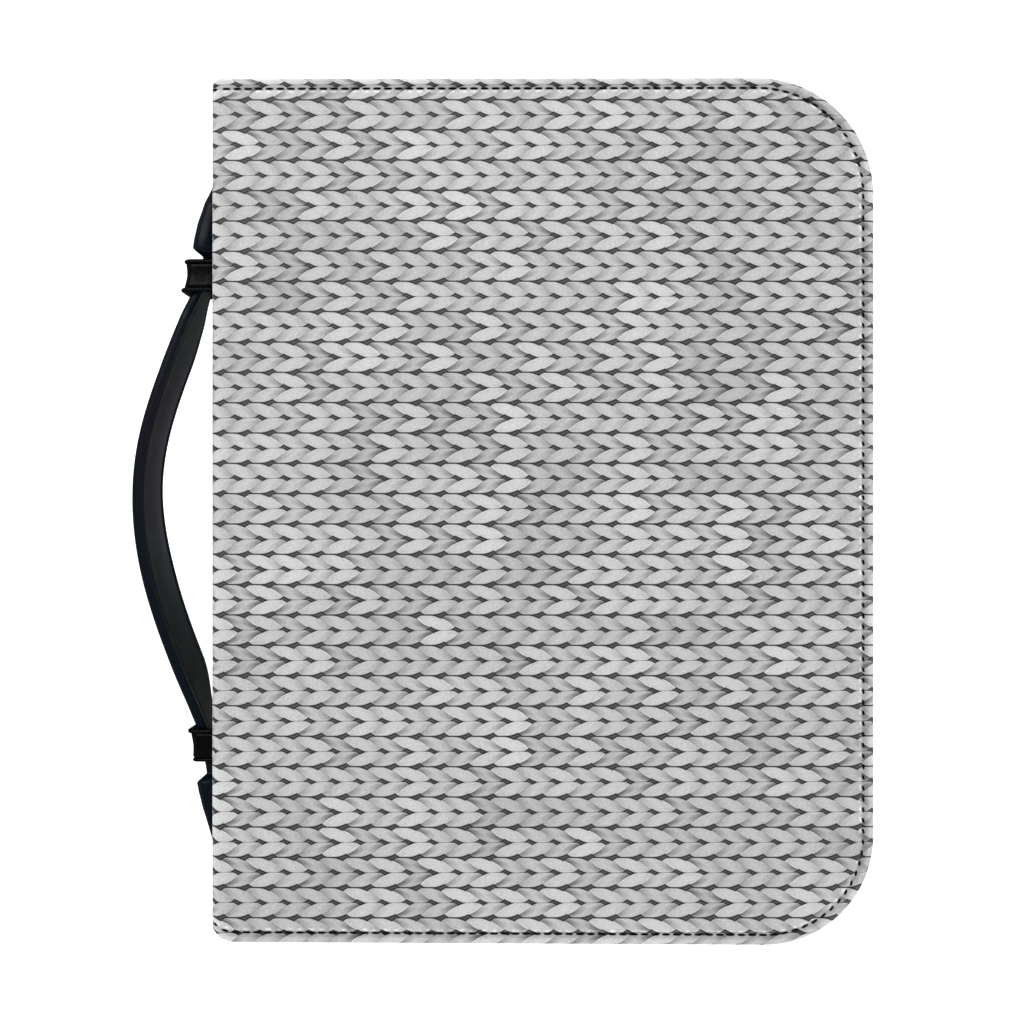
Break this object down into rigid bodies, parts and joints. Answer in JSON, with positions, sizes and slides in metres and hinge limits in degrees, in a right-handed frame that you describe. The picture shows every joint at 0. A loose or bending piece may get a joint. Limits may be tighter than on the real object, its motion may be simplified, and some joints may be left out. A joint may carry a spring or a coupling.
{
  "type": "bible cover",
  "caption": "Zip-round book-style bible cover in knit-print leather, lying flat, with a black strap handle held on its spine by two beaded keepers.",
  "frame": {"origin": "middle of the back cover's flat outer face, which is the surface that the closed cover lies on", "axes": "+X from the spine to the fore edge, +Y to the head of the book, +Z out of the front cover"},
  "size_m": [0.2391, 0.2762, 0.0452],
  "materials": {
    "printed_leather": "smooth coated leather with a grey printed knit, satin",
    "zip_tape": "black herringbone tape, matte",
    "zip_chain": "black nylon coil",
    "slider_metal": "black enamelled zip slider and pull",
    "handle_leather": "black grained strap leather with a creased and painted edge",
    "keeper_leather": "glossy black coated leather"
  },
  "bodies": {
    "root": {"cover_wrap": "printed_leather", "zip_tape_front": "zip_tape", "zip_tape_back": "zip_tape", "zip_chain": "zip_chain", "zip_slider": "slider_metal", "handle_strap": "handle_leather", "keeper_upper": "keeper_leather", "keeper_lower": "keeper_leather"}
  },
  "joints": []
}
